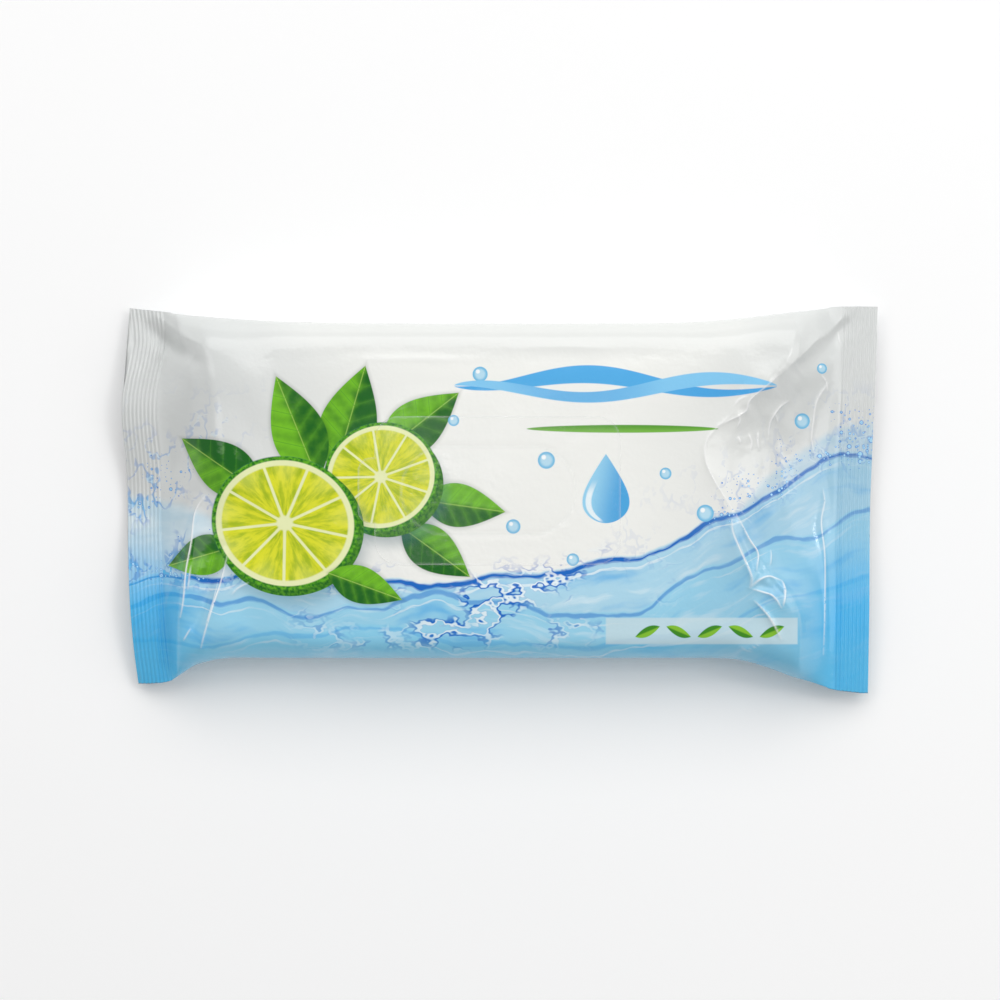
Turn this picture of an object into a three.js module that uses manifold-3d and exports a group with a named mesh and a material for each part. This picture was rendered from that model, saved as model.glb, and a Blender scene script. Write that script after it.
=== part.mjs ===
// Wet wipes pack: a sealed flow-wrapped film pouch full of folded wipes, lying on its back, with a clear
// reseal label stuck over the kiss-cut opening in its top. Millimetres.
// X runs along the pack, Y across it and Z up. The front is -Y and the back is +Y.
// The underside lies on z = 0 and the origin is under the middle of the pack's outline.
import * as THREE from "three";
import { mergeVertices } from "three/addons/utils/BufferGeometryUtils.js";
import Module from "manifold-3d";

// The filled body
const packLength = 231;
const bodyWidth = 102.1;
const bodyHeight = 25;
const bodyShift = 2.85; // the body lies this far towards +Y of the right seal's middle
const sideFoldHeight = 12; // where the side walls stand furthest out
const shoulderDrop = 1.1; // how far the top falls from its flat middle to the shoulders
const roundSide = 2.4; // roundness of the body's side walls, where 2 is an ellipse
const flatSide = 1.1; // and of the seals' folded ends, where 1 is a straight wedge

// The crimped end seals
const sealWidth = 11;
const sealThickness = 0.5;
const ribCount = 9;
const ribHeight = 0.55;
const sealInnerHeight = 8.5;
const sealOuterHeight = 5;
const sealSpan = 118.2; // along the cut edge, half of the film's girth
const leftGatherWidth = 3.2; // the part of the left seal's span that its buckling takes up
const leftSealShift = 1.3; // the left seal's middle lies this far towards +Y of the right one's
const leftBuckleHeight = 2.4; // height of the buckling waves along the left seal
const rightBuckleHeight = 0.7;
const buckleLength = 62;
const buckleShift = 30; // place of a wave's crest across the pack

// The fin seal down the middle of the back, folded flat
const finWidth = 12;
const finGrooveWidth = 1;
const finGrooveDepth = 0.4;
const finSealGrooveDepth = 0.1; // where the fin runs through an end seal

// The kiss-cut opening and the label over it
const openingLength = 52.6;
const openingWidth = 26.5;
const openingMiddle = -3.5;
const cutWidth = 0.5;
const cutDepth = 0.3;
const glueLeftWidth = 8.2; // how far the label reaches past the opening, on each side of it
const glueRightWidth = 13.7;
const glueSideWidth = 9.25;
const labelCorner = 7.5;
const labelThickness = 0.2;
const tabLength = 5;
const tabWidth = 20;
const tabCorner = 4;
const flatEndWidth = 5; // the flat middle of the top reaches this far past the label along the pack
const flatSideWidth = 8.5; // and this far across it

// How far each cut edge lies in from the pack's end, at places from -1 to 1 across the seal
const leftCutDrift = [[-1, 4.8], [-0.77, 3.3], [-0.26, 1.7], [0.12, 1.4], [0.5, 0], [0.82, 3], [1, 2]];
const rightCutDrift = [[-1, 3], [-0.62, 2.7], [0, 2.3], [0.52, 1.1], [1, 0]];

// How the sides widen from the body to the seals' ends: distance from the pack's end, and the share reached
const flareLeftFront = [[7, 1], [12.5, 0.93], [17.5, 0.7], [22, 0.35], [26, 0.08], [30, 0]];
const flareLeftBack = [[2, 1], [12, 0.76], [24, 0.48], [38, 0.24], [57, 0.08], [72, 0]];
const flareRightFront = [[5, 1], [14, 0.88], [21.5, 0.67], [31, 0.4], [39, 0.08], [48, 0]];
const flareRightBack = [[6, 1], [14, 0.95], [22, 0.78], [36, 0.45], [54, 0.1], [80, 0]];

// The creases that break the film at both ends: place across the body, and distance from the pack's end
const leftHighCrease = [
  [-54, 23], [-46, 25], [-30, 30], [-17, 33],
  [0, 32], [20, 30], [40, 28], [54, 25],
];
const leftLowCrease = [
  [-54, 17.5], [-36, 18.2], [-22, 20], [-10, 22],
  [2, 24.3], [20, 22.5], [40, 20.5], [54, 17],
];
const rightHighCrease = [
  [-54, 27], [-36, 28], [-24, 38], [-5, 46],
  [11, 53], [24, 44.5], [39, 29], [54, 26],
];
const rightLowCrease = [
  [-54, 24.5], [-36, 25.5], [-24, 34], [-5, 42.5],
  [11, 47], [24, 40], [39, 26], [54, 23.5],
];

// How high the film stands pinched up along each crease: place across the body, and height
const leftHighPinch = [[-52, 0], [-42, 0.6], [-26, 0.8], [-14, 0.2], [-4, 0]];
const leftLowPinch = [[-42, 0], [-32, 0.7], [-18, 0.9], [-4, 0.4], [6, 0]];
const rightHighPinch = [
  [-38, 0], [-28, 0.5], [-12, 0.6], [4, 0.2],
  [14, 0], [26, 0.4], [38, 0.5], [46, 0],
];
const rightLowPinch = [[-42, 0], [-32, 0.8], [-16, 0.7], [-4, 0]];

// How far the shoulder lies in from the side fold, from the body (0) to the seal (1)
const shoulderInset = [[0, 9.5], [0.3, 13], [0.7, 13], [1, 11]];

// Fineness of the loft
const sideSteps = 6;
const topSteps = 24;
const curveSteps = 12;
const leftEndSteps = [5, 3, 6]; // seal to low crease, to high crease, to the flat
const flatSteps = 5;
const rightEndSteps = [6, 2, 11]; // flat to high crease, to low crease, to seal

const lerp = THREE.MathUtils.lerp;

// Places worked out from the sizes above
const bodyFront = bodyShift - bodyWidth / 2;
const bodyBack = bodyShift + bodyWidth / 2;
const labelLeft = openingMiddle - openingLength / 2 - glueLeftWidth;
const labelRight = openingMiddle + openingLength / 2 + glueRightWidth;
const labelFront = bodyShift - openingWidth / 2 - glueSideWidth;
const labelBack = bodyShift + openingWidth / 2 + glueSideWidth;
const flatLeft = labelLeft - tabLength - flatEndWidth;
const flatRight = labelRight + flatEndWidth;
const flatHalfWidth = openingWidth / 2 + glueSideWidth + flatSideWidth;
const finRoot = bodyShift - finWidth / 2;
const finEdge = bodyShift + finWidth / 2;
const leftSealSpan = sealSpan - leftGatherWidth;

// A smooth curve through [place, value] points, held level past its ends
function curve(points) {
  const fit = new THREE.CubicInterpolant(
    points.map(([place]) => place),
    points.map(([, value]) => value),
    1,
  );
  return (place) => fit.evaluate(place)[0];
}

// Each line across the pack gives x at a place y
const leftDriftAt = curve(leftCutDrift);
const rightDriftAt = curve(rightCutDrift);
const leftCut = (y) => leftDriftAt((2 * (y - leftSealShift)) / leftSealSpan) - packLength / 2;
const rightCut = (y) => packLength / 2 - rightDriftAt((2 * y) / sealSpan);
const leftSealInner = (y) => leftCut(y) + sealWidth;
const rightSealInner = (y) => rightCut(y) - sealWidth;

function creaseLine(points, end) {
  const distance = curve(points);
  return (y) => end * (packLength / 2 - distance(y - bodyShift));
}

// The outline at a place x, on the front (side -1) or the back (side 1)
const flares = {
  leftFront: curve(flareLeftFront),
  leftBack: curve(flareLeftBack),
  rightFront: curve(flareRightFront),
  rightBack: curve(flareRightBack),
};

function sideAt(x, side) {
  const bodySide = side < 0 ? bodyFront : bodyBack;
  const fromEnd = packLength / 2 - Math.abs(x);
  if (x < 0) {
    const share = (side < 0 ? flares.leftFront : flares.leftBack)(fromEnd);
    return lerp(bodySide, leftSealShift + (side * leftSealSpan) / 2, share);
  }
  const share = (side < 0 ? flares.rightFront : flares.rightBack)(fromEnd);
  return lerp(bodySide, (side * sealSpan) / 2, share);
}

// The height of the seal's middle layer at y; out goes from 0 at its inner line to 1 at the cut edge
function sealHeight(y, out, left) {
  const buckle = left ? leftBuckleHeight : rightBuckleHeight;
  const wave = buckle * Math.cos((2 * Math.PI * (y - buckleShift)) / buckleLength);
  return lerp(sealInnerHeight, sealOuterHeight, out) + wave * lerp(0.5, 1, out);
}

// The height of the filled body's top at y
function bodyTop(y) {
  const past = Math.max(0, Math.abs(y - bodyShift) - flatHalfWidth);
  const reach = bodyWidth / 2 - shoulderInset[0][1] - flatHalfWidth;
  return bodyHeight - shoulderDrop * Math.min(1, past / reach) ** 2;
}

// A station is one ring of the loft. line gives x at y. fill is 1 on the filled body and 0 at a seal. lift is
// how far the underside has risen from the table to the seal. pinch is 0 for the body's round sides and 1 for
// a seal's flat fold. out and rib place it on a seal, and crest is the film pinched up along a crease.
const insetAt = curve(shoulderInset);

function ring({ line, fill, lift, pinch, out, rib, left, crest }) {
  const foldFront = sideAt(line(bodyFront), -1);
  const foldBack = sideAt(line(bodyBack), 1);
  const shoulderFront = foldFront + insetAt(pinch);
  const shoulderBack = foldBack - insetAt(pinch);
  const ribLift = (rib * ribHeight) / 2;
  const power = 2 / lerp(roundSide, flatSide, pinch);
  const point = (y, z) => new THREE.Vector3(line(y), y, z + ribLift);
  const seal = (y) => sealHeight(y, out, left);
  const topHeight = (y) => lerp(seal(y) + sealThickness / 2, bodyTop(y), fill);
  const underHeight = (y) => lerp(0, seal(y) - sealThickness / 2, lift);
  const points = [];

  // One side wall, from its fold (0) to the shoulder (1), over the top or underneath
  function wall(fold, shoulder, heightAt, share) {
    const foldHeight = lerp(sideFoldHeight, seal(fold), pinch);
    const angle = (share * Math.PI) / 2;
    const y = lerp(shoulder, fold, Math.cos(angle) ** power);
    points.push(point(y, lerp(foldHeight, heightAt(shoulder), Math.sin(angle) ** power)));
  }
  for (let i = 0; i < sideSteps; i++) wall(foldFront, shoulderFront, topHeight, i / sideSteps);
  for (let i = 0; i <= topSteps; i++) {
    const y = lerp(shoulderFront, shoulderBack, i / topSteps);
    points.push(point(y, topHeight(y) + crest(y - bodyShift)));
  }
  for (let i = sideSteps - 1; i >= 0; i--) wall(foldBack, shoulderBack, topHeight, i / sideSteps);
  for (let i = 1; i < sideSteps; i++) wall(foldBack, shoulderBack, underHeight, i / sideSteps);

  // The underside, with a groove along each side of the folded fin
  const groove = lerp(finGrooveDepth, finSealGrooveDepth, lift);
  const half = finGrooveWidth / 2;
  const underPlaces = [
    [shoulderBack, 0],
    [lerp(shoulderBack, finEdge, 1 / 3), 0],
    [lerp(shoulderBack, finEdge, 2 / 3), 0],
    [finEdge + half, 0],
    [finEdge, groove],
    [finEdge - half, 0],
    [finRoot + half, 0],
    [finRoot, groove],
    [finRoot - half, 0],
    [lerp(finRoot, shoulderFront, 1 / 3), 0],
    [lerp(finRoot, shoulderFront, 2 / 3), 0],
    [shoulderFront, 0],
  ];
  for (const [y, depth] of underPlaces) points.push(point(y, underHeight(y) + depth));
  for (let i = sideSteps - 1; i >= 1; i--) wall(foldFront, shoulderFront, underHeight, i / sideSteps);
  return points;
}

const noCrest = () => 0;

// Stations from one line to the next. fill, lift and pinch are given at both lines, and ease shapes fill.
// The first line may have a crest.
function stretch(from, to, steps, left, start, stop, ease = (share) => share) {
  return Array.from({ length: steps }, (_, i) => {
    const share = i / steps;
    return {
      line: (y) => lerp(from(y), to(y), share),
      fill: lerp(start.fill, stop.fill, ease(share)),
      lift: lerp(start.lift, stop.lift, share ** 2),
      pinch: lerp(start.pinch, stop.pinch, share),
      out: 0,
      rib: 0,
      left,
      crest: i === 0 && start.crest ? start.crest : noCrest,
    };
  });
}

// Stations of one seal, at the crest and the root of each rib
function crimp(from, to, left) {
  const steps = 2 * ribCount;
  return Array.from({ length: steps + 1 }, (_, i) => {
    const share = i / steps;
    return {
      line: (y) => lerp(from(y), to(y), share),
      fill: 0,
      lift: 1,
      pinch: 1,
      out: left ? 1 - share : share,
      rib: i === 0 || i === steps ? 0 : 1 - 2 * (i % 2),
      left,
      crest: noCrest,
    };
  });
}

const sealed = { fill: 0, lift: 1, pinch: 1 };
const leftLow = { fill: 0.62, lift: 0.2, pinch: 0.6, crest: curve(leftLowPinch) };
const leftHigh = { fill: 0.96, lift: 0, pinch: 0.3, crest: curve(leftHighPinch) };
const full = { fill: 1, lift: 0, pinch: 0 };
const rightHigh = { fill: 0.98, lift: 0, pinch: 0.25, crest: curve(rightHighPinch) };
const rightLow = { fill: 0.9, lift: 0, pinch: 0.35, crest: curve(rightLowPinch) };
const flatLeftLine = () => flatLeft;
const flatRightLine = () => flatRight;
const leftHighLine = creaseLine(leftHighCrease, -1);
const leftLowLine = creaseLine(leftLowCrease, -1);
const rightHighLine = creaseLine(rightHighCrease, 1);
const rightLowLine = creaseLine(rightLowCrease, 1);
const leftEase = 1.2; // the end panels leave the seals gently, and break at the creases
const rightEase = 1.5;
const outOfSeal = (share) => share ** leftEase;
const intoSeal = (share) => 1 - (1 - share) ** rightEase;

const stations = [
  ...crimp(leftCut, leftSealInner, true).slice(0, -1),
  ...stretch(leftSealInner, leftLowLine, leftEndSteps[0], true, sealed, leftLow, outOfSeal),
  ...stretch(leftLowLine, leftHighLine, leftEndSteps[1], true, leftLow, leftHigh),
  ...stretch(leftHighLine, flatLeftLine, leftEndSteps[2], true, leftHigh, full),
  ...stretch(flatLeftLine, flatRightLine, flatSteps, true, full, full),
  ...stretch(flatRightLine, rightHighLine, rightEndSteps[0], false, full, rightHigh),
  ...stretch(rightHighLine, rightLowLine, rightEndSteps[1], false, rightHigh, rightLow),
  ...stretch(rightLowLine, rightSealInner, rightEndSteps[2], false, rightLow, sealed, intoSeal),
  ...crimp(rightSealInner, rightCut, false),
];

// Joins the rings into one closed skin, capped at both cut edges
function loft(rings) {
  const count = rings[0].length;
  const index = [];
  for (let i = 0; i + 1 < rings.length; i++)
    for (let j = 0; j < count; j++) {
      const next = (j + 1) % count;
      const here = i * count;
      const there = here + count;
      index.push(here + j, there + j, here + next, here + next, there + j, there + next);
    }
  for (const [start, facing] of [[0, -1], [(rings.length - 1) * count, 1]]) {
    const outline = rings[start / count].map((p) => new THREE.Vector2(p.y, p.z));
    for (const [a, b, c] of THREE.ShapeUtils.triangulateShape(outline, [])) {
      const turn = THREE.ShapeUtils.area([outline[a], outline[b], outline[c]]) * facing > 0;
      index.push(start + a, start + (turn ? b : c), start + (turn ? c : b));
    }
  }
  const geometry = new THREE.BufferGeometry().setFromPoints(rings.flat());
  return geometry.setIndex(index);
}

// A flat plate of the given outline, standing on height
function plate(shape, height, thickness) {
  const geometry = new THREE.ExtrudeGeometry(shape, {
    depth: thickness,
    bevelEnabled: false,
    curveSegments: curveSteps,
  });
  return geometry.translate(0, 0, height);
}

// The opening's outline, a long slot with round ends, grown by some margin
function openingShape(margin) {
  const radius = openingWidth / 2 + margin;
  const reach = (openingLength - openingWidth) / 2;
  const shape = new THREE.Shape();
  shape.absarc(openingMiddle + reach, bodyShift, radius, -Math.PI / 2, Math.PI / 2, false);
  shape.absarc(openingMiddle - reach, bodyShift, radius, Math.PI / 2, (3 * Math.PI) / 2, false);
  shape.closePath();
  return shape;
}

// The label's outline: a rectangle with round corners, and a lift tab at its left end
function labelShape() {
  const tabLeft = labelLeft - tabLength;
  const tabFront = bodyShift - tabWidth / 2;
  const tabBack = bodyShift + tabWidth / 2;
  const quarter = Math.PI / 2;
  const shape = new THREE.Shape();
  const corner = (x, y, radius, turns) =>
    shape.absarc(x, y, radius, turns * quarter, (turns + 1) * quarter, false);
  corner(labelLeft + labelCorner, labelFront + labelCorner, labelCorner, 2);
  corner(labelRight - labelCorner, labelFront + labelCorner, labelCorner, 3);
  corner(labelRight - labelCorner, labelBack - labelCorner, labelCorner, 0);
  corner(labelLeft + labelCorner, labelBack - labelCorner, labelCorner, 1);
  shape.lineTo(labelLeft, tabBack);
  corner(tabLeft + tabCorner, tabBack - tabCorner, tabCorner, 1);
  corner(tabLeft + tabCorner, tabFront + tabCorner, tabCorner, 2);
  shape.lineTo(labelLeft, tabFront);
  shape.closePath();
  return shape;
}

// Booleans work on solids with shared vertices
const wasm = await Module();
wasm.setup();

function toSolid(geometry) {
  const bare = geometry.clone();
  bare.deleteAttribute("normal");
  bare.deleteAttribute("uv");
  const merged = mergeVertices(bare);
  return new wasm.Manifold(
    new wasm.Mesh({
      numProp: 3,
      vertProperties: merged.attributes.position.array,
      triVerts: new Uint32Array(merged.index.array),
    }),
  );
}

function toGeometry(solid) {
  const { vertProperties, triVerts } = solid.getMesh();
  const geometry = new THREE.BufferGeometry();
  geometry.setAttribute("position", new THREE.BufferAttribute(vertProperties, 3));
  geometry.setIndex(new THREE.BufferAttribute(triVerts, 1));
  geometry.computeVertexNormals();
  return geometry;
}

// The kiss cut: a fine groove round the opening, cut down into the top film
function cutPouch(skin) {
  const bottom = bodyHeight - cutDepth;
  const outer = toSolid(plate(openingShape(cutWidth / 2), bottom, 2 * cutDepth));
  const inner = toSolid(plate(openingShape(-cutWidth / 2), bottom - cutDepth, 4 * cutDepth));
  return toGeometry(toSolid(skin).subtract(outer.subtract(inner)));
}

const pouchGeometry = cutPouch(loft(stations.map(ring)));
const labelGeometry = plate(labelShape(), bodyHeight, labelThickness);
pouchGeometry.computeBoundingBox();
const middle = pouchGeometry.boundingBox.getCenter(new THREE.Vector3());
for (const geometry of [pouchGeometry, labelGeometry]) geometry.translate(-middle.x, -middle.y, 0);

const film = new THREE.MeshStandardMaterial({ color: 0xe4eff4, roughness: 0.28, metalness: 0 });
const clearFilm = new THREE.MeshStandardMaterial({
  color: 0xf2f7fa,
  roughness: 0.15,
  metalness: 0,
  transparent: true,
  opacity: 0.35,
});

const pouch = new THREE.Mesh(pouchGeometry, film);
pouch.name = "pouch";
const resealLabel = new THREE.Mesh(labelGeometry, clearFilm);
resealLabel.name = "reseal_label";

const pack = new THREE.Group();
pack.add(pouch, resealLabel);

export default pack;
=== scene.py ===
import math
import bpy
import numpy as np
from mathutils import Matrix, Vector


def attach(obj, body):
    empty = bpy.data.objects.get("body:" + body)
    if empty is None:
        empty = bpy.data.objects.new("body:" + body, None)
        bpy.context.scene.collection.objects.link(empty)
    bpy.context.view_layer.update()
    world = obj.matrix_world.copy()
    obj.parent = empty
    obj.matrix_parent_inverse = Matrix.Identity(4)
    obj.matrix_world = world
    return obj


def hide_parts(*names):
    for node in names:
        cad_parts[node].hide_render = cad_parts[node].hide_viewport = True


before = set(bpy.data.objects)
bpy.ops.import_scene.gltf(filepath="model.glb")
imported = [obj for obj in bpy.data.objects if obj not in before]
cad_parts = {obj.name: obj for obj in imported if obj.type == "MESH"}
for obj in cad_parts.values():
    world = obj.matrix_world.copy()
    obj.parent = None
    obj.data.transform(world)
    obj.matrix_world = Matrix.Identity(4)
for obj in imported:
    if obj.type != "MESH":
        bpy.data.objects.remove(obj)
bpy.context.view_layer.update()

# FILM POUCH
# One sheet of printed laminate film, wrapped round the stack of folded wipes, sealed to itself in a fin
# along the back and crimped shut at both ends. It is slack, and creases run in from both seals.
mm = 0.001
weld_distance = 0.005 * mm
bpy.ops.object.select_all(action="DESELECT")
pouch = bpy.data.objects.new("film_pouch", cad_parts["pouch"].data.copy())
bpy.context.collection.objects.link(pouch)
bpy.context.view_layer.objects.active = pouch
pouch.select_set(True)
pouch.data.materials.clear()


def places(mesh):
    """The mesh's points, in millimetres."""
    found = np.empty(len(mesh.vertices) * 3)
    mesh.vertices.foreach_get("co", found)
    return found.reshape(-1, 3) / mm


def move_to(mesh, where):
    mesh.vertices.foreach_set("co", (where * mm).ravel())
    mesh.update()


def pick(mesh, kind, chosen):
    """Opens the mesh for editing with only the chosen faces or edges selected."""
    bpy.ops.object.mode_set(mode="EDIT")
    bpy.ops.mesh.select_mode(type=kind)
    bpy.ops.mesh.select_all(action="DESELECT")
    bpy.ops.object.mode_set(mode="OBJECT")
    (mesh.polygons if kind == "FACE" else mesh.edges).foreach_set("select", chosen)
    bpy.ops.object.mode_set(mode="EDIT")


def face_values(mesh, name):
    found = np.empty(len(mesh.polygons) * 3)
    mesh.polygons.foreach_get(name, found)
    return found.reshape(-1, 3)


bpy.ops.object.mode_set(mode="EDIT")
bpy.ops.mesh.select_all(action="SELECT")
bpy.ops.mesh.remove_doubles(threshold=weld_distance)
bpy.ops.object.mode_set(mode="OBJECT")

# The label's seat becomes one even grid of film; the fine cut under the label comes back as relief in it
seat_low = np.array([-48.1, -26.0, 24.6])
seat_high = np.array([41.7, 31.7, 25.05])
corners = places(pouch.data)
on_seat = ((corners > seat_low) & (corners < seat_high)).all(axis=1)
pick(pouch.data, "FACE", [bool(on_seat[list(face.vertices)].all()) for face in pouch.data.polygons])
bpy.ops.mesh.delete(type="FACE")
bpy.ops.mesh.select_mode(type="EDGE")
bpy.ops.mesh.select_non_manifold()
bpy.ops.mesh.fill_grid(span=5, offset=16)
bpy.ops.object.mode_set(mode="OBJECT")
corners = places(pouch.data)
ends = np.array([edge.vertices[:] for edge in pouch.data.edges])
middle = (corners[ends[:, 0]] + corners[ends[:, 1]]) / 2
span = abs(corners[ends[:, 0]] - corners[ends[:, 1]])
lengthwise = ((middle > seat_low) & (middle < seat_high)).all(axis=1)
lengthwise &= (span[:, 0] > 10) & (span[:, 1] < 0.5)
pick(pouch.data, "EDGE", lengthwise)
bpy.ops.mesh.subdivide(number_cuts=3)
bpy.ops.mesh.select_all(action="SELECT")
widest_turn = math.radians(60)
bpy.ops.mesh.tris_convert_to_quads(face_threshold=widest_turn, shape_threshold=widest_turn)

# The crimp's crests and roots are hard edges, so that the smoothing doesn't flatten the ribs
bpy.ops.mesh.select_all(action="DESELECT")
crimp_turn = math.radians(35)
bpy.ops.mesh.edges_select_sharp(sharpness=crimp_turn)
bpy.ops.object.mode_set(mode="OBJECT")
first_rib = 99.5
corners = places(pouch.data)
hard = [edge.select and min(abs(corners[edge.vertices[:], 0])) > first_rib for edge in pouch.data.edges]
hard_edges = pouch.data.attributes.new("crease_edge", "FLOAT", "EDGE")
hard_edges.data.foreach_set("value", np.array(hard, dtype=float))

smoother = pouch.modifiers.new("film", "SUBSURF")
smoother.levels = 2
smoother.render_levels = 2
bpy.ops.object.modifier_apply(modifier="film")

# The ribbed seals need fewer faces than that, and the creased film at both ends needs more
seal_inner = 104.5
pick(pouch.data, "FACE", abs(face_values(pouch.data, "center")[:, 0]) / mm > seal_inner)
bpy.ops.mesh.unsubdivide(iterations=2)
bpy.ops.object.mode_set(mode="OBJECT")
centre = face_values(pouch.data, "center") / mm
creased = ((centre[:, 0] < -74) & (centre[:, 0] > -101)) | ((centre[:, 0] > 60) & (centre[:, 0] < 100))
creased &= (face_values(pouch.data, "normal")[:, 2] > 0.45) & (abs(centre[:, 1] - 2) < 47)
pick(pouch.data, "FACE", creased)
bpy.ops.mesh.subdivide(number_cuts=1)
bpy.ops.object.mode_set(mode="OBJECT")


# Creases that the sealing jaws and handling leave: each has its height, its half width, how strong the white
# line on its crest is (ink whitened by the fold, with a painted glint), and its route over the film, in
# millimetres. A height below nothing is a valley.
creases = [
    # Left end: two long folds that fall to the front corner, and the dart at the back corner
    (0.8, 0.55, 1.0, [(-90, 0.5), (-92.5, -4), (-93.5, -13), (-95, -21), (-96, -30.5), (-97, -35.5)]),
    (-0.9, 2.0, 0, [(-93, 2), (-96, -6), (-97.5, -14), (-99, -24), (-100, -33)]),
    (0.8, 0.55, 1.0, [(-82.5, -17), (-84.5, -25), (-86.5, -31), (-88.5, -37.5), (-90.5, -44.5)]),
    (-0.8, 2.2, 0, [(-85, -14), (-88, -24), (-90.5, -33), (-93, -41)]),
    (0.4, 0.6, 0.7, [(-85.6, -25), (-87, -31), (-89, -37.5)]),
    (0.3, 0.5, 0.6, [(-94, -39), (-96, -42.5)]),
    (0.3, 0.5, 0.6, [(-93.6, -20), (-94.6, -27)]),
    (0.4, 0.7, 0.6, [(-76, -25), (-79, -26.5), (-81, -28.5)]),
    (-1.9, 2.4, 0, [(-109, 54.5), (-104, 49.5), (-99, 46), (-93, 42.5)]),
    (1.0, 1.8, 0, [(-106, 57.5), (-101, 53.5), (-96, 50), (-90, 47)]),
    (0.9, 1.4, 0.2, [(-103.5, 47.5), (-104.5, 43.5)]),
    (0.5, 0.9, 0.1, [(-104, 37.5), (-104.5, 26), (-103.5, 14.5), (-103.5, 0)]),
    # Right end: the dart at the back corner
    (1.1, 1.3, 0.1, [(107, 57), (104.5, 55.5), (100, 51), (95.5, 48), (86.5, 39)]),
    (-1.5, 2.4, 0, [(107.5, 55.5), (102, 50), (96, 43.5), (90.5, 39)]),
    # Crumpled film between the stack's top edge and the back half of the seal
    (0.7, 0.8, 0.7, [(85, 38), (76, 30.5), (74, 26.5), (66, 22.5)]),
    (0.7, 0.8, 0.8, [(87.5, 30), (84.5, 28), (82, 24), (81.5, 18.5)]),
    (0.5, 0.6, 0.8, [(78.5, 20.5), (78.2, 18), (78.5, 15.5)]),
    (0.4, 0.6, 0.7, [(72, 25.5), (72.6, 24), (72, 22)]),
    (0.4, 0.6, 0.7, [(72.5, 19), (73, 17)]),
    (0.4, 0.6, 0.8, [(75.6, 19.8), (76.4, 17.4), (76, 15)]),
    (0.3, 0.5, 0.6, [(83.5, 26), (84.6, 23.6)]),
    (0.3, 0.5, 0.6, [(70.6, 28.6), (72.4, 30.4), (75, 31.4)]),
    (0.3, 0.5, 0.7, [(98, 38), (99.4, 36), (99.8, 33.4)]),
    (0.3, 0.5, 0.6, [(103.2, 51), (103.8, 47.6)]),
    (-0.8, 2.6, 0, [(92, 34), (86, 25), (86, 14), (89, 4)]),
    # The dent, with the double fold that runs from it to the front
    (0.6, 0.9, 0.5, [(70, 26), (63, 19), (62, 12.5), (65, 5.5), (70.5, -3)]),
    (-0.6, 4.0, 0, [(74, 16), (72, 9), (76, 2), (83, -6)]),
    (1.0, 0.8, 0.9, [(70, -6), (70.5, -10), (73.5, -17), (76, -23), (75.5, -26.5)]),
    (0.8, 0.7, 0.9, [(71.5, -4.5), (75.5, -12), (78, -16), (77.5, -21)]),
    (-0.6, 1.3, 0, [(72, -9), (75, -16), (76.5, -21)]),
    (0.7, 1.2, 0.5, [(82.5, -15), (82, -19.5)]),
    (0.7, 0.7, 0.9, [(75.5, -26.5), (78.5, -24), (81.5, -23), (85, -24.5)]),
    (0.6, 0.7, 0.9, [(85, -24.5), (86, -28), (85.5, -32)]),
    (0.6, 0.7, 0.9, [(76.5, -27), (79.5, -27.8), (82.5, -29), (85, -32.5)]),
    (-0.7, 1.4, 0, [(78, -26), (83, -26.5)]),
    (0.9, 0.8, 0.8, [(77, -30.5), (81.5, -35.5), (85, -42)]),
    (0.6, 0.9, 0.3, [(72.5, -44), (75, -45.5), (77.5, -44), (79, -43.5)]),
    (0.6, 0.9, 0.6, [(100, 35.5), (96.5, 30), (95.5, 24), (95, 18.5), (96, 13)]),
    (0.6, 0.9, 0.7, [(98.5, 3), (99, -0.5), (98, -7), (99, -17), (99, -33), (98.5, -47)]),
    # Two long folds beside the back shoulder
    (0.3, 0.9, 0.2, [(3.5, 46), (20, 46.4), (35, 46)]),
    (0.3, 0.9, 0.2, [(-42.5, 42.5), (-25, 42.8), (-9, 42.5)]),
    (0.25, 0.9, 0.1, [(-27.5, 52.5), (-27, 40)]),
]


def smooth_route(stops, steps=8):
    """Points along a smooth line through the stops."""
    stops = np.array([stops[0], *stops, stops[-1]], dtype=float)
    line = []
    for before, start, stop, after in zip(stops, stops[1:], stops[2:], stops[3:]):
        for t in np.arange(steps) / steps:
            line.append(0.5 * (2 * start + (stop - before) * t
                + (2 * before - 5 * start + 4 * stop - after) * t ** 2
                + (3 * start - before - 3 * stop + after) * t ** 3))
    return np.array([*line, stops[-1]])


def beside_route(x, y, stops, reach):
    """Which places lie within reach of a route, how far from it, and how far along it (0 to 1)."""
    line = smooth_route(stops)
    low, high = line.min(axis=0) - reach, line.max(axis=0) + reach
    close = np.flatnonzero((x > low[0]) & (x < high[0]) & (y > low[1]) & (y < high[1]))
    spot = np.column_stack([x[close], y[close]])
    distance = np.full(len(close), 1e9)
    along = np.zeros(len(close))
    for i, (start, stop) in enumerate(zip(line, line[1:])):
        run = stop - start
        share = np.clip((spot - start) @ run / (run @ run), 0, 1)
        away = np.linalg.norm(spot - start - share[:, None] * run, axis=1)
        nearer = away < distance
        distance[nearer] = away[nearer]
        along[nearer] = (i + share[nearer]) / (len(line) - 1)
    near = distance < reach
    return close[near], distance[near], along[near]


def slack(x, y):
    """Long shallow waves in the film where it lies on the wipes; never above the flat."""
    waves = np.sin(x / 7.3 + 1.4 * np.sin(y / 11)) + np.sin(y / 6.1 + x / 19 + 0.8)
    waves = waves + 0.8 * np.sin(x / 12.5 - y / 8 + 2)
    return 0.05 * waves - 0.15


def cut_distance(x, y):
    """How far a place lies from the kiss cut round the opening."""
    half_run, radius = 13.05, 13.25
    return abs(np.hypot(np.maximum(abs(x + 3.52) - half_run, 0), y - 2.85) - radius)


def film_relief(x, y):
    return slack(x, y) - 0.12 * np.exp(-(cut_distance(x, y) / 0.8) ** 2)


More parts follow.
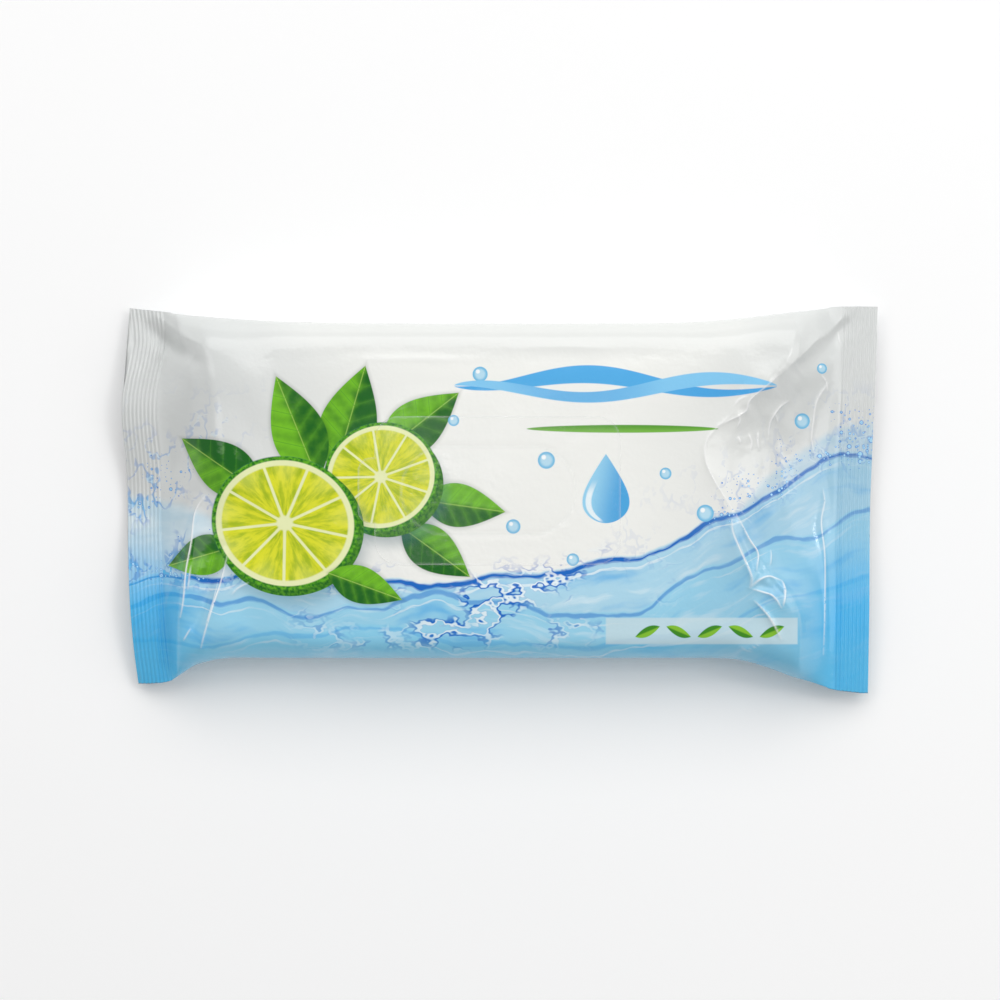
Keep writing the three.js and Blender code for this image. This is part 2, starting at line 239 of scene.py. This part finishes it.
def facets(x, y):
    """Flat-sided folds that cross each other, as crumpled film has, from -1 to 1."""
    aside = x + 2.2 * np.sin(y / 5.3 + 1) + 1.1 * np.sin(y / 2.1 + x / 4)
    upward = y + 2.0 * np.sin(x / 4.7) + 0.9 * np.sin(x / 1.9 - y / 3.3)
    total = 0
    for turn, length, share in ((20, 7.5, 1.0), (75, 5.5, 0.8), (130, 4.2, 0.6), (165, 3.0, 0.4)):
        turn = math.radians(turn)
        step = (aside * math.cos(turn) + upward * math.sin(turn)) / length
        total = total + share * (2 * abs(step % 2 - 1) - 1)
    return total / 2.8


# The film along its white folds, whitened ink with a painted glint, is finer still, so that they come out
# sharp
centre = face_values(pouch.data, "center") / mm
folded = np.zeros(len(centre), dtype=bool)
fold_reach = 0.8
for _, _, whitening_with_glint, stops in creases:
    if whitening_with_glint >= 0.5:
        folded[beside_route(centre[:, 0], centre[:, 1], stops, fold_reach)[0]] = True
folded &= (face_values(pouch.data, "normal")[:, 2] > 0.3) & (abs(centre[:, 0]) < seal_inner)
pick(pouch.data, "FACE", folded)
bpy.ops.mesh.subdivide(number_cuts=1)
bpy.ops.object.mode_set(mode="OBJECT")

# Where the film is crumpled: place, radius and how strongly
crumples = [
    (80, 25, 13, 1.0), (82, -24, 11, 0.9), (86, 4, 13, 0.5), (96, 44, 10, 0.7),
    (-92, -24, 12, 0.5), (-97, 40, 10, 0.6), (78, -42, 9, 0.6), (-96, 8, 12, 0.3),
]

points = places(pouch.data)
normals = np.empty(len(points) * 3)
pouch.data.vertices.foreach_get("normal", normals)
normals = normals.reshape(-1, 3)
x, y = points.T[:2]
# Near the seals the pack is thin, so both faces of it move up and down together
thin = np.clip((abs(x) - 88) / 12, 0, 1)
thin = thin * thin * (3 - 2 * thin)
top = np.maximum(np.clip((normals[:, 2] - 0.1) / 0.3, 0, 1), thin) * np.clip((seal_inner - abs(x)) / 4, 0, 1)
lift = film_relief(x, y) * top
end = np.clip((abs(x) - 52) / 25, 0, 1)
lift += end * top * 0.3 * (np.sin(y / 4.6 + 1.5 * np.sin(x / 6)) + np.sin(x / 5.2 - y / 9) - 0.4)
crumpled = np.zeros(len(x))
for at_x, at_y, radius, amount in crumples:
    crumpled = np.maximum(crumpled, amount * np.exp(-(np.hypot(x - at_x, y - at_y) / radius) ** 2))
lift += 0.42 * crumpled * top * facets(x, y)
upward = np.maximum(np.clip((normals[:, 2] + 0.05) / 0.2, 0, 1), thin)
fold_whitening_with_glint = np.zeros(len(x))
fold_line_width = 0.24
for height, width, whitening_with_glint, stops in creases:
    close, distance, along = beside_route(x, y, stops, 5 * width)
    fade = np.sin(math.pi * np.clip(along, 0.04, 0.96)) ** 0.6
    section = np.exp(-distance / width) if height > 0 else np.exp(-(distance / width) ** 2)
    lift[close] += height * fade * section * upward[close]
    # The white line on a fold's crest: whitened ink with a painted glint
    line_whitening_with_glint = whitening_with_glint * fade * np.exp(-(distance / fold_line_width) ** 2) * upward[close]
    fold_whitening_with_glint[close] = np.maximum(fold_whitening_with_glint[close], line_whitening_with_glint)
points += (normals * (1 - thin[:, None]) + np.outer(thin, [0, 0, 1])) * lift[:, None]
# It lies on the table, and stays below the label's top
table_height, highest_film = 0, 25.28
points[:, 2] = np.clip(points[:, 2], table_height, highest_film)
move_to(pouch.data, points)
underside = pouch.data.attributes.new("underside", "FLOAT", "POINT")
underside.data.foreach_set("value", np.clip(-0.2 - normals[:, 2] * 4, 0, 1))
pouch.data.attributes.new("fold_whitening_with_glint", "FLOAT", "POINT").data.foreach_set("value", fold_whitening_with_glint)
pouch.data.polygons.foreach_set("use_smooth", [True] * len(pouch.data.polygons))


class Wire:
    """A number or colour on its way through a material's nodes, for sums written as plain expressions."""

    def __init__(self, tree, socket):
        self.tree = tree
        self.socket = socket

    def node(self, kind, settings=None, sockets=None, out=0):
        made = self.tree.nodes.new("ShaderNode" + kind)
        for name, value in (settings or {}).items():
            setattr(made, name, value)
        for name, value in (sockets or {}).items():
            if isinstance(value, Wire):
                self.tree.links.new(value.socket, made.inputs[name])
            else:
                made.inputs[name].default_value = value
        return Wire(self.tree, made.outputs[out])

    def beside(self, out):
        """Another output of the node that this comes from."""
        return Wire(self.tree, self.socket.node.outputs[out])

    def math(self, operation, *others):
        return self.node("Math", {"operation": operation}, dict(enumerate((self, *others))))

    def __add__(self, other):
        return self.math("ADD", other)

    __radd__ = __add__

    def __sub__(self, other):
        return self.math("SUBTRACT", other)

    def __rsub__(self, other):
        return self.node("Math", {"operation": "SUBTRACT"}, {0: other, 1: self})

    def __mul__(self, other):
        return self.math("MULTIPLY", other)

    __rmul__ = __mul__

    def __truediv__(self, other):
        return self.math("DIVIDE", other)

    def __pow__(self, other):
        return self.math("POWER", other)

    def __abs__(self):
        return self.math("ABSOLUTE")

    def least(self, other):
        return self.math("MINIMUM", other)

    def most(self, other):
        return self.math("MAXIMUM", other)

    def sin(self):
        return self.math("SINE")

    def spread(self, low, high, out_low=0, out_high=1):
        """Runs smoothly from out_low to out_high while this goes from low to high, and is level outside."""
        return self.node(
            "MapRange",
            {"interpolation_type": "SMOOTHSTEP", "clamp": True},
            {"Value": self, "From Min": low, "From Max": high, "To Min": out_low, "To Max": out_high},
        )


def ink(red, green, blue):
    """A printed colour, from the numbers that a printer's proof gives."""
    shares = [value / 255 for value in (red, green, blue)]
    return (*[s / 12.92 if s <= 0.04045 else ((s + 0.055) / 1.055) ** 2.4 for s in shares], 1)


class Plate:
    """A printing plate: a node tree and the place on the film, in millimetres, to draw a motif from."""

    def __init__(self, tree):
        self.start = Wire(tree, None)
        apart = self.start.node("SeparateXYZ", {}, {0: self.start.node("TexCoord", out=3)})
        self.x = apart * 1000
        self.y = apart.beside(1) * 1000
        self.wander = None

    def lay(self, under, over, mask):
        """One colour laid over another, as far as the mask says."""
        return self.start.node(
            "Mix", {"data_type": "RGBA", "clamp_factor": True}, {0: mask, 6: under, 7: over}, out=2
        )

    def flow(self, across, up, shift, detail=3, roughness=0.55):
        """Uneven tone from 0 to 1 over two coordinates."""
        spot = self.start.node("CombineXYZ", {}, {0: across, 1: up, 2: shift})
        grain = {"Vector": spot, "Scale": 1, "Detail": detail, "Roughness": roughness}
        return self.start.node("TexNoise", {}, grain)

    def turned(self, at_x, at_y, length, turn):
        """The place along (0 to 1) and across a motif that lies at an angle."""
        c, s = math.cos(math.radians(turn)), math.sin(math.radians(turn))
        dx, dy = self.x - at_x, self.y - at_y
        return dx * (c / length) + dy * (s / length), dy * c - dx * s

    def blade(self, at_x, at_y, length, width, turn, lean, blunt):
        """A pointed shape: how far inside it a place is, and the place along and across it."""
        along, across = self.turned(at_x, at_y, length, turn)
        inside_run = along.most(0.0001).least(0.9999)
        half = ((inside_run ** lean * math.pi).sin() ** blunt) * width
        past = abs(along - 0.5).spread(0.5, 0.5005, 0, 10)
        return half - abs(across) - past, along, across

    def surface_line(self, level, climb, start_x, run, ripples):
        """The height of a swell's surface at each x."""
        line = self.x.spread(start_x, start_x + run, level, level + climb)
        for height, length, shift in ripples:
            line = line + (self.x / length + shift).sin() * height
        if not self.wander:
            self.wander = (self.flow(self.x * 0.045, self.y * 0.02, 3) - 0.5) * 8
        return line + self.wander

    def back_swell(self):
        return self.surface_line(-23.5, 37, 6, 116, [(2.2, 15, 0.6), (1.1, 5.3, 2.0)])


def swell(plate, line, body, deep, light, edge, shift, force):
    """One swell: a dark surface line with a glance of light under it, and streaks that follow it down."""
    depth = line - plate.y
    streak = plate.flow(plate.x * 0.03, depth * 0.11, shift, 3, 0.6)
    fine = plate.flow(plate.x * 0.12, depth * 0.7, shift + 4, 2)
    colour = plate.lay(ink(*body), ink(*deep), streak.spread(0.5, 0.72) * depth.spread(0, 6) * 0.9)
    colour = plate.lay(colour, ink(*light), (streak * 0.8 + fine * 0.2).spread(0.46, 0.34) * 0.85)
    glance = (0.5 - abs(depth - 2.6 - fine * 2.4)).spread(0, 0.45) * streak.spread(0.42, 0.6)
    colour = plate.lay(colour, ink(236, 247, 251), glance * force * 0.8)
    edging = (streak * 2.4 - abs(depth - 0.4 - fine * 1.4)).spread(0.25, 0.95) * force
    colour = plate.lay(colour, ink(*edge), edging)
    return colour, (depth.spread(-0.4, 0.5) * depth.spread(60, 30, 0.6, 0.94)).most(edging)


def water(plate):
    """Pale water far back, higher towards both ends, with three swells before it."""
    far = plate.surface_line(-25, 50, 38, 76, [(1.6, 11, 1.0)]) + plate.x.spread(-100, -58, 27, 0)
    tone = plate.flow(plate.x * 0.05, plate.y * 0.12, 17, 3)
    colour = plate.lay(ink(182, 213, 229), ink(212, 230, 238), tone.spread(0.35, 0.65))
    cover = (far - plate.y).spread(-1.5, 2.5) * 0.85
    middle = plate.surface_line(-31, 33, 34, 92, [(3.0, 12.5, 2.6), (1.0, 4.1, 0.4)])
    front = plate.surface_line(-41, 24, 52, 76, [(2.3, 18, 4.1), (0.7, 6.2, 1.0)])
    for look in (
        (plate.back_swell(), (168, 217, 240), (84, 178, 234), (208, 235, 247), (12, 104, 196), 11, 1.0),
        (middle, (148, 214, 242), (64, 176, 236), (194, 231, 248), (34, 138, 216), 23, 0.8),
        (front, (136, 212, 243), (76, 190, 240), (178, 225, 248), (70, 176, 236), 37, 0.6),
    ):
        nearer, reach = swell(plate, *look)
        colour = plate.lay(colour, nearer, reach)
        cover = cover.most(reach)
    # Painted shade: the water turns grey-blue towards the right end
    return plate.lay(colour, ink(120, 158, 184), plate.x.spread(44, 74) * 0.24), cover


def spray(plate):
    """Broken water: rims with a glance of light below the fruit, and threads and drops at both ends."""
    height = plate.y - plate.back_swell()
    band = height.spread(6, -3) * height.spread(-30, -12) * abs(plate.x + 6).spread(66, 30)
    band = band * plate.y.spread(-47, -42)
    patch = band * plate.flow(plate.x * 0.04, plate.y * 0.05, 59, 2).spread(0.42, 0.56)
    rim = plate.flow(plate.x * 0.07, plate.y * 0.11, 53, 3, 0.62)
    pale = abs(rim - 0.54).spread(0.03, 0.01)
    colour = plate.lay(ink(10, 104, 200), ink(240, 249, 253), pale)
    cover = abs(rim - 0.5).spread(0.03, 0.006).most(pale * 0.85) * patch

    right = height.spread(26, 2) * height.spread(-9, -1) * plate.x.spread(10, 84)
    left = height.spread(62, 6) * height.spread(-6, 0) * plate.x.spread(-54, -84)
    thick = plate.flow(plate.x * 0.06, plate.y * 0.06, 51, 2).spread(0.36, 0.6)
    thread = abs(plate.flow(plate.x * 0.09, plate.y * 0.055, 71, 3, 0.66) - 0.5)
    thread = thread.spread(0.03, 0.008) * left.most(right * 0.35) * thick
    colour = plate.lay(colour, plate.lay(ink(4, 98, 200), ink(96, 190, 238), thick), thread)
    cover = cover.most(thread)
    near = left.most(right) * thick
    for size, shift in ((3.1, 7.3), (1.5, 31.7)):
        spot = plate.start.node("CombineXYZ", {}, {0: plate.x / size + shift, 1: plate.y / size})
        cell = plate.start.node("TexVoronoi", {"voronoi_dimensions": "2D"}, {"Vector": spot, "Scale": 1})
        chance = plate.start.node("SeparateColor", {}, {0: cell.beside(1)})
        inside = chance * 0.36 * near - (1 - near) * 0.1 - cell
        drop_cover = inside.spread(0, 0.04)
        drop_ink = plate.lay(ink(8, 104, 204), ink(170, 220, 246), inside.spread(0.03, 0.11))
        colour = plate.lay(colour, drop_ink, drop_cover)
        cover = cover.most(drop_cover)
    return colour, cover


def leaves(plate, *places_on_film):
    """Leaves with a light and a dark half, a pale midrib and slanting veins, each with its shadow."""
    grain = plate.flow(plate.x * 0.3, plate.y * 0.3, 5) * 0.5
    shadow_ink = ink(12, 66, 20)
    colour, cover = shadow_ink, 0
    for at_x, at_y, length, width, turn, tone in places_on_film:
        along, across = plate.turned(at_x, at_y, length, turn)
        inside = along * (1 - along) * (1.35 - along * 0.7).most(0.25) * (4 * width) - abs(across)
        vein = abs((along * 20 - abs(across) / width * 3.2).sin())
        shade = (across / width).spread(-0.25, 0.25) * 0.5 + (1 - vein) * 0.22 + grain
        green = plate.lay(ink(10, 98, 14), ink(120, 196, 30), shade.spread(0.25 - tone, 1.15 - tone))
        green = plate.lay(green, ink(168, 208, 92), (0.28 - abs(across)).spread(0, 0.3) * 0.8)
        green = plate.lay(green, ink(60, 140, 34), vein.spread(0.12, 0.02) * 0.6)
        leaf_cover, shadow = inside.spread(-0.1, 0.2), inside.spread(-1.6, 0.6) * 0.28
        colour = plate.lay(plate.lay(colour, shadow_ink, shadow), green, leaf_cover)
        cover = leaf_cover.most(shadow).most(cover)
    return colour, cover


def slice_of_fruit(plate, at_x, at_y, radius, squash, turn, shift):
    """A slice across a green fruit: rind, pith, nine wedges of flesh round a pale heart, and a shadow."""
    c, s = math.cos(math.radians(turn)), math.sin(math.radians(turn))
    dx, dy = plate.x - at_x, plate.y - at_y
    across = (dx * c + dy * s) / radius
    up = (dy * c - dx * s) / (radius * squash)
    reach = (across * across + up * up) ** 0.5
    behind = (((dx - 1.6) / radius) ** 2 + ((dy + 2.0) / radius / squash) ** 2) ** 0.5
    shadow = (((dx - 3) / radius) ** 2 + ((dy + 5) / radius / squash) ** 2) ** 0.5
    wedge = abs((up.math("ARCTAN2", across) * 4.5).sin()) * reach
    pulp = plate.flow(across / reach * 7, up / reach * 7, reach * 3.5 + shift, 3, 0.6)
    flesh = plate.lay(ink(164, 188, 18), ink(224, 226, 40), pulp.spread(0.7, 0.36))
    flesh = plate.lay(flesh, ink(238, 240, 120), wedge.spread(0.3, 0.9) * reach.spread(0.3, 0.85) * 0.35)
    fleshy = wedge.spread(0.05, 0.12) * reach.spread(0.87, 0.84) * reach.spread(0.09, 0.13)
    fruit = plate.lay(ink(236, 241, 186), flesh, fleshy)
    skin = plate.flow(dx * 0.9, dy * 0.9, shift, 3)
    rind = plate.lay(ink(96, 176, 24), ink(14, 108, 8), skin.spread(0.35, 0.65))
    fruit = plate.lay(fruit, rind, reach.spread(0.925, 0.945))
    side = plate.lay(rind, ink(20, 84, 14), 0.45)
    front, edge = reach.spread(1.005, 0.985), behind.spread(1.0, 0.985)
    colour = plate.lay(plate.lay(ink(30, 96, 110), side, edge), fruit, front)
    return colour, front.most(edge).most(shadow.spread(1.14, 0.8) * 0.45)


def bubble(plate, at_x, at_y, radius):
    """A round bubble with a darker rim and a glint."""
    away = ((plate.x - at_x) ** 2 + (plate.y - at_y) ** 2) ** 0.5 / radius
    glint = ((plate.x - at_x + radius * 0.3) ** 2 + (plate.y - at_y - radius * 0.35) ** 2) ** 0.5 / radius
    colour = plate.lay(ink(186, 224, 242), ink(110, 188, 228), away.spread(0.45, 0.95))
    return plate.lay(colour, ink(250, 253, 254), glint.spread(0.34, 0.2)), away.spread(1.05, 0.93)


def ripple(plate, turn, tone):
    """A tapered stroke that waves along the head of the pack."""
    run = ((plate.x + 14) / 98).most(0.0001).least(0.9999)
    weight = (run * math.pi).sin() ** 0.6
    sway = (plate.x / 15.6 + turn).sin()
    inside = weight * 2.3 * (sway * 0.25 + 1) - abs(plate.y - 34.5 - sway * 3.6 * weight)
    shade = plate.lay(ink(*tone), ink(60, 156, 224), sway.spread(0.2, -1) * 0.4)
    return shade, inside.spread(-0.1, 0.25) * abs(plate.x - 35).spread(49, 48.5)


def stroke(plate):
    """A thin green line that tapers to both ends."""
    inside, _, across = plate.blade(8, 21.5, 58, 1.25, 0, 1, 0.5)
    colour = plate.lay(ink(120, 184, 70), ink(92, 160, 52), across.spread(-0.8, 0.8))
    return colour, inside.spread(-0.1, 0.2)


def drop(plate):
    """A drop of water with its point up, and a glint along one side."""
    half_width = 7.2
    inside, along, across = plate.blade(32, 14, 21, half_width, 270, 1.9, 0.5)
    depth = (across / half_width + along * 0.6).spread(-0.4, 1.0)
    colour = plate.lay(ink(150, 212, 242), ink(74, 168, 226), depth)
    glint = (1.1 - abs(inside - 1.9)).spread(0, 0.5) * (across * -1).spread(0.5, 2.5)
    glint = glint * along.spread(0.35, 0.6)
    return plate.lay(colour, ink(236, 248, 253), glint), inside.spread(-0.1, 0.25)


def panel(plate):
    """A pale panel near the front, with a row of five small leaves that lean in turn."""
    tone = plate.flow(plate.x * 0.05, plate.y * 0.05, 61, 1)
    colour = plate.lay(ink(206, 228, 234), ink(214, 233, 238), tone)
    cover = (abs(plate.x - 61) - 29).most(abs(plate.y + 39.6) - 4).spread(0.3, -0.3) * 0.75
    step = 9.4
    along = ((plate.x - 40.6).math("FLOORED_MODULO", step) - 0.2) / 7.6
    side = (plate.x - 40.6).math("FLOORED_MODULO", 2 * step).spread(step - 0.1, step + 0.1, 1, -1)
    across = (plate.y + 39.8) - (along - 0.5) * side * 3.2
    row = (2.6 - abs(plate.x - 64) / step).spread(0.09, 0.11)
    leaf = (along * (1 - along) * 6.4 - abs(across)).spread(-0.1, 0.2) * row
    green = plate.lay(ink(134, 196, 46), ink(60, 140, 24), (across * side).spread(-0.3, 0.3))
    return plate.lay(colour, green, leaf), cover.most(leaf)


# Every motif in the order that it is printed, with its places and sizes
motifs = [
    (water,), (spray,),
    (
        leaves, (-50, 8, 34, 8.5, 74, 0.0), (-55, 6, 34, 8.0, 112, 0.12), (-36, 14, 30, 7.5, 38, 0.05),
        (-72, 2, 30, 7.5, 146, -0.05), (-24, 0, 26, 6.5, -8, 0.1), (-80, -14, 22, 6.0, 196, 0.05),
        (-30, -8, 26, 6.5, -36, -0.05),
    ),
    (slice_of_fruit, -36, 7, 17.5, 0.94, 20, 2), (slice_of_fruit, -65, -7, 22.5, 0.9, -12, 9),
    (leaves, (-52, -22, 24, 5.5, -20, 0.08)),
    (bubble, -6, 38, 2.3), (bubble, 14, 12, 2.6), (bubble, 92, 24, 2.4), (bubble, 50, 8, 1.8),
    (bubble, 4, -8, 2.2), (bubble, 62, -4, 2.6), (bubble, -14, 24, 1.7), (bubble, 98, 40, 1.6),
    (bubble, 22, -18, 1.9),
    (ripple, 0, (84, 176, 234)), (ripple, math.pi, (134, 204, 244)), (stroke,), (drop,), (panel,),
]


def printed_film():
    """Glossy laminate, printed from behind: white, with blue water, slices of green fruit and leaves."""
    material = bpy.data.materials.new("printed_film")
    material.use_nodes = True
    tree = material.node_tree
    surface = tree.nodes["Principled BSDF"]
    plate = Plate(tree)
    x, y = plate.x, plate.y
    colour = plate.lay(ink(247, 247, 242), ink(243, 244, 240), plate.flow(x * 0.02, y * 0.02, 1))
    # Painted shade: grey laid on the white film towards both ends, most at the left end, and along the back
    # shoulder
    shade = (abs(x - 7).spread(20, 104) * 0.92).most(y.spread(38, 50) * 0.5)
    colour = plate.lay(colour, ink(214, 217, 216), shade)
    for i, (draw, *details) in enumerate(motifs):
        group = bpy.data.node_groups.new(f"{draw.__name__}_{i}", "ShaderNodeTree")
        group.interface.new_socket("Colour", in_out="OUTPUT", socket_type="NodeSocketColor")
        group.interface.new_socket("Cover", in_out="OUTPUT", socket_type="NodeSocketFloat")
        printed = group.nodes.new("NodeGroupOutput")
        for socket, wire in zip(printed.inputs, draw(Plate(group), *details)):
            group.links.new(wire.socket, socket)
        motif = plate.start.node("Group", {"node_tree": group})
        colour = plate.lay(colour, motif, motif.beside(1))
        if draw is water:
            at_seals = abs(x).spread(86, 106) * y.spread(-6, -34) * 0.76
            colour = plate.lay(colour, ink(40, 182, 242), at_seals)
            colour = plate.lay(colour, ink(96, 192, 232), y.spread(-38, -50) * 0.4)

    # Thin white lines on the sharp folds that break off here and there: ink that the folds have cracked,
    # with a painted glint on the crests
    fold_whitening_with_glint = plate.start.node("Attribute", {"attribute_name": "fold_whitening_with_glint"}, {}, out=2)
    unbroken = plate.flow(x * 0.5, y * 0.5, 13).spread(0.3, 0.42)
    colour = plate.lay(colour, ink(255, 255, 255), fold_whitening_with_glint * unbroken)

    # The back is plain: the water's pale blue fades to white over the fin
    underside = plate.start.node("Attribute", {"attribute_name": "underside"}, {}, out=2)
    drift = plate.flow(x * 0.03, y * 0.03, 29) * 10
    plain = plate.lay(ink(240, 244, 245), ink(150, 208, 234), (y + drift).spread(-3, -47))
    colour = plate.lay(colour, plain, underside)

    gloss = plate.flow(x * 0.08, y * 0.08, 5, 2).spread(0.3, 0.7, 0.12, 0.22)
    crinkle = plate.flow(x * 0.22, y * 0.22, 83, 2) * 0.7 + plate.flow(x * 0.9, y * 0.9, 91, 1) * 0.12
    bump = plate.start.node("Bump", {}, {"Strength": 0.35, "Distance": 0.0005, "Height": crinkle})
    for name, wire in (("Base Color", colour), ("Roughness", gloss), ("Normal", bump)):
        tree.links.new(wire.socket, surface.inputs[name])
    surface.inputs["IOR"].default_value = 1.5
    return material


pouch.data.materials.append(printed_film())
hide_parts("pouch")
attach(pouch, "root")

# RESEAL LABEL
# A clear self-adhesive film label with a lift tab, stuck over the kiss-cut opening. It follows the film
# below it, and dips a little along the cut.
between_faces = 25.1  # a height between the label's lower face and its upper one
glue_height = 25.04  # of the lower face, where the film below is flat
label_wall = 0.17
cad_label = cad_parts["reseal_label"]
outline = places(cad_label.data)
label_low, label_high = outline.min(axis=0), outline.max(axis=0)
bpy.ops.object.select_all(action="DESELECT")
cutter = bpy.data.objects.new("label_outline", cad_label.data.copy())
bpy.context.collection.objects.link(cutter)
bpy.context.view_layer.objects.active = cutter
cutter.select_set(True)
bpy.ops.object.mode_set(mode="EDIT")
bpy.ops.mesh.select_all(action="SELECT")
bpy.ops.mesh.remove_doubles(threshold=weld_distance)
bpy.ops.object.mode_set(mode="OBJECT")
outline = places(cutter.data)
upper = outline[:, 2] > between_faces
cutter_foot, cutter_head = 20, 30
outline[:, 2] = np.where(upper, cutter_head, cutter_foot)
move_to(cutter.data, outline)
rim_edges = []
for edge in cutter.data.edges:
    beside = [face for face in cutter.data.polygons if set(edge.vertices) <= set(face.vertices)]
    if upper[list(edge.vertices)].all() and any(abs(face.normal.z) < 0.5 for face in beside):
        rim_edges.append(tuple(edge.vertices))

bpy.ops.object.select_all(action="DESELECT")
bpy.ops.mesh.primitive_grid_add(x_subdivisions=130, y_subdivisions=74, size=1)
label = bpy.context.active_object
label.name = "label_film"
sheet = places(label.data)
middle = (label_low + label_high) / 2
size = label_high - label_low + 1
sheet = np.column_stack([
    sheet[:, 0] * mm * size[0] + middle[0],
    sheet[:, 1] * mm * size[1] + middle[1],
    np.full(len(sheet), label_low[2]),
])
move_to(label.data, sheet)
thickness = label.modifiers.new("thickness", "SOLIDIFY")
thickness.thickness = 0.2 * mm
thickness.offset = 1
bpy.ops.object.modifier_apply(modifier="thickness")
trim = label.modifiers.new("outline", "BOOLEAN")
trim.operation = "INTERSECT"
trim.solver = "EXACT"
trim.object = cutter
bpy.ops.object.modifier_apply(modifier="outline")
bpy.data.objects.remove(cutter)
sheet = places(label.data)
x, y, z = sheet.T
edge_distance = np.full(len(x), 1e9)
for edge in rim_edges:
    start, stop = outline[edge[0], :2], outline[edge[1], :2]
    run = stop - start
    share = np.clip((sheet[:, :2] - start) @ run / (run @ run), 0, 1)
    away = np.linalg.norm(sheet[:, :2] - start - share[:, None] * run, axis=1)
    edge_distance = np.minimum(edge_distance, away)
dip = 0.06 * np.exp(-(cut_distance(x, y) / 0.9) ** 2)
sheet[:, 2] = glue_height + slack(x, y) - dip + np.where(z > between_faces, label_wall, 0)
move_to(label.data, sheet)
label.data.polygons.foreach_set("use_smooth", [True] * len(label.data.polygons))
# Painted glint: the label is less clear along its cut edge and over the kiss cut
rim = np.maximum(np.exp(-(edge_distance / 0.45) ** 2), 0.6 * np.exp(-(cut_distance(x, y) / 0.4) ** 2))
label.data.attributes.new("rim", "FLOAT", "POINT").data.foreach_set("value", rim)


def clear_film():
    """Water-clear film with a trace of haze, and a painted glint along its cut edge and over the kiss cut,
    where more of its white shows.
    """
    material = bpy.data.materials.new("clear_label")
    material.use_nodes = True
    tree = material.node_tree
    surface = tree.nodes["Principled BSDF"]
    place = Wire(tree, None).node("TexCoord", out=3)
    haze = place.node("TexNoise", {}, {"Vector": place, "Scale": 60, "Detail": 2})
    rim = place.node("Attribute", {"attribute_name": "rim"}, {}, out=2)
    tree.links.new(haze.spread(0.3, 0.7, 0.06, 0.12).socket, surface.inputs["Roughness"])
    tree.links.new((haze.spread(0.2, 0.8, 0.01, 0.02) + rim * 0.1).socket, surface.inputs["Alpha"])
    surface.inputs["Base Color"].default_value = (0.98, 0.99, 1, 1)
    return material


label.data.materials.clear()
label.data.materials.append(clear_film())
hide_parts("reseal_label")
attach(label, "root")

# STUDIO
# A white table under large soft lamps, and the camera straight above the pack.
bpy.ops.mesh.primitive_plane_add(size=4)
table = bpy.context.active_object
table.name = "studio_floor"
floor_paint = bpy.data.materials.new("studio_floor")
floor_paint.use_nodes = True
floor_surface = floor_paint.node_tree.nodes["Principled BSDF"]
floor_surface.inputs["Base Color"].default_value = (1, 1, 1, 1)
floor_surface.inputs["Roughness"].default_value = 0.95
table.data.materials.append(floor_paint)

world = bpy.data.worlds.new("studio")
bpy.context.scene.world = world
world.use_nodes = True
daylight = world.node_tree.nodes["Background"]
daylight.inputs["Color"].default_value = (1, 1, 1, 1)
daylight.inputs["Strength"].default_value = 0.41


def softbox(name, where, size, power):
    """A flat lamp that faces the pack; its place and size in metres, its power in watts."""
    lamp = bpy.data.lights.new(name, "AREA")
    lamp.shape = "RECTANGLE"
    lamp.size, lamp.size_y = size
    lamp.energy = power
    holder = bpy.data.objects.new(name, lamp)
    bpy.context.collection.objects.link(holder)
    holder.location = where
    holder.rotation_euler = (-Vector(where)).to_track_quat("-Z", "Y").to_euler()


softbox("softbox_above", (0.05, 1.25, 1.35), (2.6, 1.4), 22)
softbox("softbox_right", (1.1, 0.1, 1.1), (0.7, 1.2), 4.4)
softbox("softbox_left", (-1.0, 0.2, 1.1), (0.3, 0.9), 1.5)
softbox("spark_right", (0.85, 0.35, 1.3), (0.05, 0.2), 0.9)
softbox("flash_by_camera", (-0.02, 0.06, 1.65), (0.05, 0.03), 0.06)

camera_height = 1.6
photo_width = 0.3054  # what the photograph spans, in metres, at the height of the pack's outline
outline_height = 0.007
camera = bpy.data.cameras.new("camera")
camera.sensor_width = 36
camera.lens = camera.sensor_width * (camera_height - outline_height) / photo_width
viewer = bpy.data.objects.new("camera", camera)
bpy.context.collection.objects.link(viewer)
viewer.location = (0, 0, camera_height)
bpy.context.scene.camera = viewer
bpy.context.scene.view_settings.view_transform = "Standard"
